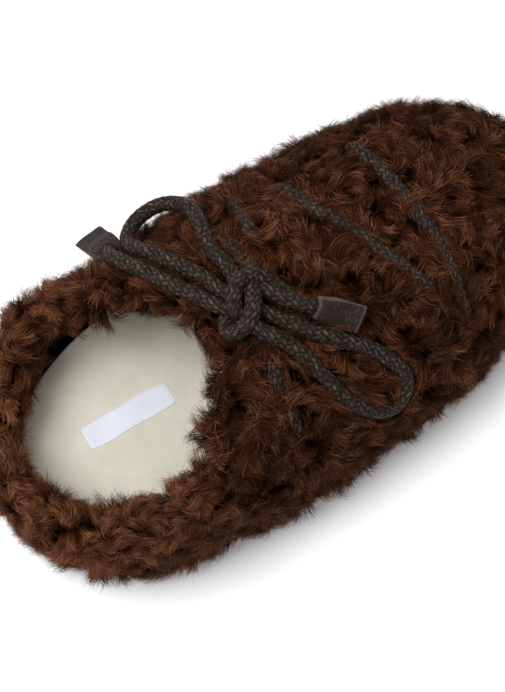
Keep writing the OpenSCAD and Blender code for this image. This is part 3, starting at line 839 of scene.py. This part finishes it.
def wrap_patch():
    """The band round the sole, from under the feather line to the ground."""
    rows = 300
    angle = np.linspace(0, 2 * math.pi, rows)[:, None]
    section = np.array([
        (8, 1.6, 0), (5, 1.9, 0), (2.4, 4, 0), (1, 9, 0), (1, 15, 0), (2.2, 19.7, 0),
        (4, 21.6, 0), (6, 22.3, 0), (8.5, 22.4, 0)]) * MM
    line = smooth_line(section, 1.2 * MM)
    g, z = line[:, 0][None, :], line[:, 1][None, :]
    s = (1 - np.cos(angle)) / 2
    side = np.where(angle < math.pi, -1.0, 1.0)
    return Patch(plan_point(s, side, g, z))


def sampled_laces():
    """Points along every lace, its direction there, and half the width the fur leaves bare."""
    points, along, bare = [], [], []
    for name, route in list(ROUTES.items()) + [("knot", np.array(t) * MM) for t in KNOT_TURNS]:
        line = smooth_line(route, 1.2 * MM)
        line = sunk_lace(line) if name.startswith("lace_") else line
        points.append(line)
        along.append(unit(np.gradient(line, axis=0)))
        half = np.full(len(line), LACE_D / 2 + 0.3 * MM)
        if name.startswith("lace_"):
            # the vamp holds this one, and the pile closes over its flanks and its ends
            run = np.arange(len(line)) * 1.2 * MM
            to_end = np.minimum(run, run[-1] - run)
            uneven = 1.6 * MM + 0.7 * MM * np.sin(run / (3.1 * MM) + len(line))
            half = uneven * smooth((to_end - 6 * MM) / (9 * MM))
        bare.append(half)
    return np.vstack(points), np.vstack(along), np.concatenate(bare)


LACE_POINTS, LACE_ALONG, LACE_BARE = sampled_laces()


def nearest(points, others):
    """Number of the nearest of the others for each point."""
    others = others.astype(np.float32)
    size = (others**2).sum(1)[None]
    found = [(size - 2 * part.astype(np.float32) @ others.T).argmin(1)
             for part in np.array_split(points, max(1, len(points) // 20000))]
    return np.concatenate(found)


def grow(patch, tuft, spacing, strands, spread, length, rise, fall, width, bright=1.0):
    """Locks gather in tufts: each tuft sweeps one way, fans out at its foot and ends in points."""
    heart, axis = patch.scatter(tuft)
    p, n = patch.scatter(spacing)
    owner = nearest(p, heart)
    tufts, locks = len(heart), len(p)
    sweep = unit(np.cross(axis, rng.normal(size=(tufts, 3))))
    swirl = (rng.choice([-1, 1], tufts) * rng.uniform(0.6, 2.4, tufts))[owner]
    swirl = swirl * rng.uniform(0.7, 1.3, locks)
    size = rng.uniform(0.84, 1.16, tufts)[owner] * rng.uniform(0.88, 1.12, locks)
    tone = 0.6 * rng.beta(2, 2, tufts)[owner] + 0.4 * rng.random(locks)
    fall_to = rng.uniform(*fall, tufts)[owner] + rng.normal(0, 0.12, locks)
    inward = heart[owner] - p
    inward -= n * (inward * n).sum(1, keepdims=True)
    e1 = sweep[owner] - 1.3 * inward / tuft + rng.normal(0, 0.3, (locks, 3))
    e1 = unit(e1 - n * (e1 * n).sum(1, keepdims=True))
    e2 = np.cross(n, e1)
    pick = np.repeat(np.arange(locks), strands)
    count = len(pick)
    stray = rng.random(count) < STRAY_SHARE
    loose = np.where(stray, 2.6, 1.0)
    r, turn = spread * np.sqrt(rng.random(count)), rng.uniform(0, 2 * math.pi, count)
    off = (r * np.cos(turn))[:, None] * e1[pick] + (r * np.sin(turn))[:, None] * e2[pick]
    theta0 = rng.normal(0, 0.17, count) * loose
    swirl_s = swirl[pick] * (1 + rng.normal(0, 0.15, count) * loose)
    long_s = length * size[pick] * (1 + rng.normal(0, 0.13, count))
    low = fall_to[pick] + rng.normal(0, 0.12, count) * loose
    u = (np.arange(STRAND_POINTS - 1) + 0.5) / (STRAND_POINTS - 1)
    phi = rise + (low[:, None] - rise) * smooth(u * 1.1)[None, :]
    theta = theta0[:, None] + swirl_s[:, None] * u[None, :] ** 1.15
    flat = (np.cos(theta)[..., None] * e1[pick][:, None]
            + np.sin(theta)[..., None] * e2[pick][:, None])
    steps = (np.cos(phi)[..., None] * flat + np.sin(phi)[..., None] * n[pick][:, None])
    steps *= (long_s / (STRAND_POINTS - 1))[:, None, None]
    path = np.concatenate([np.zeros((count, 1, 3)), np.cumsum(steps, axis=1)], axis=1)
    u_full = smooth(np.linspace(0, 1, STRAND_POINTS))[None, :, None]
    gathered = 0.35 * u_full + 0.35 * u_full**4
    root = p[pick] - n[pick] * PELT_DEPTH
    path = root[:, None] + path + off[:, None] * (1 - gathered)
    path += inward[pick][:, None] * (0.3 * u_full)
    shade = 0.45 * tone[pick] + 0.55 * rng.random(count) ** 1.4
    # bright below 1 darkens a region's strands and above 1 lightens them: painted shade and painted
    # light for how the lamps fall there
    shade = np.clip((1.12 * shade) ** (1 / bright), 0.01, 0.99)
    return path, n[pick], shade, width * rng.uniform(0.75, 1.2, count)


def clear_of_laces(path, normal):
    """Strands part to both sides of a lace, and lie over the flanks of one the vamp holds."""
    count, steps, _ = path.shape
    flat = path.reshape(-1, 3).copy()
    out = np.repeat(normal, steps, axis=0)
    k = nearest(flat, LACE_POINTS)
    aside = unit(np.cross(LACE_ALONG[k], out))
    gap = flat - LACE_POINTS[k]
    sideways, height = (gap * aside).sum(1), (gap * out).sum(1)
    near = np.abs((gap * LACE_ALONG[k]).sum(1)) < 2 * MM
    inner = LACE_BARE[k] * rng.uniform(0.7, 1.15, count).repeat(steps)
    outer = 2 * inner
    root_side = np.repeat(np.where((sideways.reshape(count, steps)[:, 0]) < 0, -1.0, 1.0), steps)
    move = near & (np.abs(sideways) < outer) & (height > -LACE_D / 2) & (inner > 0)
    wanted = root_side * (inner + np.abs(sideways) / np.maximum(outer, 1e-9) * (outer - inner))
    flat += np.where(move, wanted - sideways, 0.0)[:, None] * aside
    gap = flat - LACE_POINTS[k]
    dist = np.linalg.norm(gap, axis=1)
    clear = LACE_D / 2 + 0.3 * MM
    flat += (np.clip(clear - dist, 0, None) / np.maximum(dist, 1e-9))[:, None] * gap
    return flat.reshape(path.shape)


def lifted_bow():
    """Where the loops and free ends pass on the way up, half way and fully lifted."""
    passed = []
    for joint in frame["record"]["behaviour"]["joints"]:
        line = smooth_line(ROUTES[joint["child"]], 1.2 * MM) - joint["pos_m"]
        axis = unit(np.array(joint["axis"], float))
        for share in (0.5, 1):
            angle = math.radians(joint["range_deg"][1]) * share
            along = (line @ axis)[:, None] * axis
            turned_line = ((line - along) * math.cos(angle) + along
                           + np.cross(axis, line) * math.sin(angle))
            passed.append(turned_line + joint["pos_m"])
    return np.vstack(passed)


def clear_of_lifted_bow(path):
    """Which strands stay out of the way of the bow as it lifts at the knot."""
    flat, bow = path.reshape(-1, 3), lifted_bow()
    gap = np.linalg.norm(flat - bow[nearest(flat, bow)], axis=1).reshape(path.shape[:2])
    return (gap > LACE_D / 2 + 0.5 * MM).all(axis=1)


def add_strands(name, path, normal, shade, width):
    """Thin tapered ribbons, flat side out; each holds the sliver of the map at its shade."""
    count = len(path)
    along = unit(np.gradient(path, axis=1))
    facing = normal[:, None] + 0.35 * rng.normal(size=(count, 1, 3))
    side = unit(np.cross(along, facing))
    u = np.linspace(0, 1, STRAND_POINTS)
    taper = np.clip(1 - 0.85 * u**3, 0.1, 1)[None, :, None]
    half = 0.5 * width[:, None, None] * taper
    points = np.stack([path - side * half, path + side * half], axis=2).reshape(-1, 3)
    points[:, 2] = np.maximum(points[:, 2], 0.3 * MM)
    quads = np.arange(STRAND_POINTS - 1)[:, None] * 2 + np.array([0, 1, 3, 2])[None, :]
    faces = (np.arange(count)[:, None, None] * STRAND_POINTS * 2 + quads[None]).reshape(-1, 4)
    mesh = bpy.data.meshes.new(name)
    mesh.vertices.add(len(points))
    mesh.vertices.foreach_set("co", points.astype(np.float32).ravel())
    mesh.loops.add(faces.size)
    mesh.loops.foreach_set("vertex_index", faces.astype(np.int32).ravel())
    mesh.polygons.add(len(faces))
    mesh.polygons.foreach_set("loop_start", np.arange(0, faces.size, 4, dtype=np.int32))
    mesh.polygons.foreach_set("use_smooth", np.ones(len(faces), bool))
    mesh.update(calc_edges=True)
    sliver = 0.004
    v = np.arange(STRAND_POINTS - 1)[:, None] / (STRAND_POINTS - 1) + np.array(
        [0, 0, 1, 1])[None, :] / (STRAND_POINTS - 1)
    v = np.broadcast_to(0.01 + 0.98 * v, (count, STRAND_POINTS - 1, 4))
    x = shade[:, None, None] + sliver * np.array([-0.5, 0.5, 0.5, -0.5])[None, None, :]
    x = np.broadcast_to(np.clip(x, 0, 1), v.shape)
    layer = mesh.uv_layers.new(name=UV_LAYER)
    layer.data.foreach_set("uv", np.stack([x, v], axis=-1).astype(np.float32).ravel())
    mesh.materials.append(MATERIALS["fur"])
    obj = placed(name, mesh)
    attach(obj, "slipper")


def add_fur():
    style = dict(tuft=6.2 * MM, spacing=3.1 * MM, strands=54, spread=2.6 * MM, width=0.16 * MM)
    # bright per region: painted shade on the vamp's and the sole's fur, painted light on the
    # collar's, for how the lamps fall on them
    regions = {
        "vamp": (vamp_patch(), "vamp_fur",
                 dict(length=12 * MM, rise=1.4, fall=(-0.35, 0.35), bright=0.56, **style)),
        "collar": (collar_patch(), "collar_fur",
                   dict(length=11.8 * MM, rise=1.4, fall=(-0.35, 0.35), bright=1.15, **style)),
        "sole": (wrap_patch(), "sole_wrap",
                 dict(length=11 * MM, rise=1.3, fall=(-0.4, 0.2), bright=0.85, **style)),
    }
    for name, (patch, node, growth) in regions.items():
        patch.pelt(name + "_pelt", node)
        path, normal, shade, width = grow(patch, **growth)
        path = clear_of_laces(path, normal)
        kept = np.flatnonzero(clear_of_lifted_bow(path))
        pieces = int(math.ceil(len(kept) / STRANDS_PER_PIECE))
        for k, part in enumerate(np.array_split(kept, pieces)):
            add_strands(f"{name}_fur_{k + 1}", path[part], normal[part], shade[part], width[part])


add_fur()

# ---- footbed, label and linings ----


def sock_top(x, y):
    """Height of the plush footbed: a soft dip under the heel, edges that turn up the inner wall."""
    s = plan_s(x, INSERT_G)
    share = np.clip((y - mid_y(s)) / np.maximum(half_w(s, INSERT_G), 1e-4), -1, 1)
    crown = 0.5 * MM * (1 - share**2)
    dip = 0.7 * MM * np.exp(-((x + 0.085) ** 2 + (y - 0.003) ** 2) / (2 * 0.024**2))
    past_heel = smooth((x + 92 * MM) / (35 * MM))
    turn_up = (7 * MM * smooth(share) + 3 * MM * smooth(-share)) * np.abs(share) ** 9 * past_heel
    return SOCK_TOP + crown - dip + turn_up + 0.1 * MM * np.sin(x * 310) * np.sin(y * 260 + 1)


def add_sock():
    rings, spokes = 60, 180
    angle = np.linspace(0, 2 * math.pi, spokes, endpoint=False)[None, :]
    share = (np.linspace(0, 1, rings) ** 0.8)[:, None]
    s_edge = (1 - np.cos(angle)) / 2
    side = np.where(angle < math.pi, -1.0, 1.0)
    edge = plan_point(s_edge, side, INSERT_G, 0.0)
    centre = np.array([plan_x(0.5, INSERT_G), mid_y(0.5), 0])
    x = centre[0] + (edge[..., 0] - centre[0]) * share
    y_mid = mid_y(plan_s(x, INSERT_G))
    y = y_mid + (edge[..., 1] - mid_y(s_edge)) * share
    top = np.stack([x, y, sock_top(x, y)], axis=-1)
    skirt = top[-1:].copy()
    skirt[..., 2] = SOCK_BASE
    points = np.vstack([top, skirt])
    faces = turned(grid_faces(rings + 1, spokes, wrap=True))
    obj = add_mesh("sock_plush", points.reshape(-1, 3), faces, MATERIALS["sock_plush"], "slipper")
    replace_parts(obj, "sock")


LABEL_L, LABEL_W, LABEL_T = 40 * MM, 11 * MM, 0.55 * MM
LABEL_TURN = math.radians(-5.5)
LABEL_AT = 0.5 * sum(map(np.array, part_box("sock_label")))


def label_point(a, b, lift):
    """A point on the label: a along it and b across it, from -1 to 1."""
    pinch = 1 - 0.05 * np.cos(a * 7) * 0.5 - 0.10 * np.abs(a) ** 8
    along = a * LABEL_L / 2 * (1 - 0.015 * b**2)
    across = b * LABEL_W / 2 * pinch + 0.35 * MM * np.sin(a * 2.6 + 0.4)
    x = LABEL_AT[0] + along * math.cos(LABEL_TURN) - across * math.sin(LABEL_TURN)
    y = LABEL_AT[1] + along * math.sin(LABEL_TURN) + across * math.cos(LABEL_TURN)
    wave = 0.25 * MM * np.sin(a * 5 + 1) * (1 - b**2)
    return np.stack([x, y, sock_top(x, y) + lift + np.where(lift > 0, wave, 0)], axis=-1)


def add_label():
    cols, rows = 60, 22
    a, b = np.meshgrid(np.linspace(-1, 1, cols), np.linspace(-1, 1, rows), indexing="ij")
    edge = np.maximum(np.abs(a) ** 24, np.abs(b) ** 10)
    top = label_point(a, b, LABEL_T * (1 - 0.75 * edge) + 0.15 * MM)
    base = label_point(a, b, np.full_like(a, -0.15 * MM))
    points = np.vstack([top.reshape(-1, 3), base.reshape(-1, 3)])
    n = cols * rows
    faces = turned(grid_faces(cols, rows)) + grid_faces(cols, rows, base=n)
    rim = [(i, 0) for i in range(cols - 1)] + [(cols - 1, j) for j in range(rows - 1)]
    rim += [(cols - 1 - i, rows - 1 - j) for i, j in rim]
    for (i, j), (k, m) in zip(rim, rim[1:] + rim[:1]):
        p, q = i * rows + j, k * rows + m
        faces.append([p, q, q + n, p + n])
    obj = add_mesh("label_tape", points, faces, MATERIALS["label"], "slipper")
    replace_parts(obj, "sock_label")


def add_label_stitches():
    points, faces = [], []
    inset_a, inset_b = 0.95, 0.84
    places = [(a, side * inset_b, True) for a in np.linspace(-0.9, 0.9, 17) for side in (-1, 1)]
    places += [(side * inset_a, b, False) for b in (-0.55, -0.18, 0.18, 0.55) for side in (-1, 1)]
    for a, b, lengthwise in places:
        centre = label_point(np.array(a), np.array(b), np.array(LABEL_T * 0.9))
        turn = LABEL_TURN if lengthwise else LABEL_TURN + math.pi / 2
        along = np.array([math.cos(turn), math.sin(turn), 0])
        add_capsule(points, faces, centre, along, UP, 0.8 * MM, 0.17 * MM)
    obj = add_mesh("label_thread_line", np.array(points), faces, MATERIALS["label_thread"],
                   "slipper")
    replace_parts(obj, "label_stitches")


add_sock()
add_label()
add_label_stitches()

# ---- CAD pieces that are shown as they are, or leaned with the fur ----

FINISHES = {
    "outsole": "outsole_rubber", "midsole": "midsole_foam", "insole_board": "fibre_board",
    "footbed_foam": "foam", "heel_counter": "stiffener", "eyelets": "eyelet",
}
VAMP_LAYERS = {"vamp_foam": "foam_dark", "vamp_lining": "vamp_plush", "toe_puff": "stiffener"}
COLLAR_LAYERS = {"collar_foam": "foam_dark", "collar_lining": "lining_black"}


def finish_kept_nodes():
    for node, finish in FINISHES.items():
        mesh = frame["nodes"][node].data
        mesh.materials.clear()
        mesh.materials.append(MATERIALS[finish])


def drawn_back(points):
    """How far toeward a layer inside the vamp moves, so that its edge stays under the fur's."""
    g = INSERT_G - 4 * MM
    s = plan_s(points[:, 0], g)
    tau = np.clip((points[:, 1] - mid_y(s)) / np.maximum(half_w(s, g), 1 * MM), -1, 1)
    drawn = (np.maximum(set_back(tau), 0) + 3.5 * MM) * (1 - smooth((np.abs(tau) - 0.8) / 0.15))
    return drawn * (1 - smooth((points[:, 0] - throat_edge(tau)) / (30 * MM)))


def add_settled_layers():
    """The layers under the fur lean with it; at the throat they are drawn back inside its roll."""
    for node, finish in {**VAMP_LAYERS, **COLLAR_LAYERS}.items():
        source = frame["nodes"][node]
        mesh = source.data.copy()
        points = np.empty(len(mesh.vertices) * 3)
        mesh.vertices.foreach_get("co", points)
        world = np.array(source.matrix_world)
        points = points.reshape(-1, 3) @ world[:3, :3].T + world[:3, 3]
        if node in VAMP_LAYERS:
            points[:, 0] += drawn_back(points)
        points = settled(points)
        mesh.vertices.foreach_set("co", points.astype(np.float32).ravel())
        mesh.materials.clear()
        mesh.materials.append(MATERIALS[finish])
        obj = placed(node + "_settled", mesh)
        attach(obj, "slipper")
        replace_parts(obj, node)


finish_kept_nodes()
add_settled_layers()

# ---- floor and light ----


def add_stage():
    m = Shader("floor", rough=0.95, specular=0.05)
    m.colour(m.ramp(m.noise(3, detail=2), (0.3, (0.90, 0.90, 0.90)), (0.7, (0.93, 0.93, 0.93))))
    size = 3.0
    mesh = bpy.data.meshes.new("floor")
    mesh.from_pydata([(-size, -size, 0), (size, -size, 0), (size, size, 0), (-size, size, 0)], [],
                     [(0, 1, 2, 3)])
    mesh.materials.append(m.material)
    placed("floor", mesh)


def add_area_light(name, place, size, power, target=(0, 0, 0.04)):
    data = bpy.data.lights.new(name, "AREA")
    data.size = size
    data.energy = power
    light = placed(name, data)
    light.location = place
    light.rotation_euler = (Vector(target) - Vector(place)).to_track_quat("-Z", "Y").to_euler()


def add_lights():
    world = bpy.data.worlds.new("studio")
    bpy.context.scene.world = world
    world.use_nodes = True
    background = world.node_tree.nodes["Background"].inputs
    background["Color"].default_value = (1, 1, 1, 1)
    background["Strength"].default_value = 0.62
    add_area_light("key", (-0.6, 0.22, 1.15), 0.8, 16)
    add_area_light("fill", (0.5, 0.3, 1.3), 1.2, 5)
    bpy.context.scene.view_settings.view_transform = "Standard"


add_stage()
add_lights()
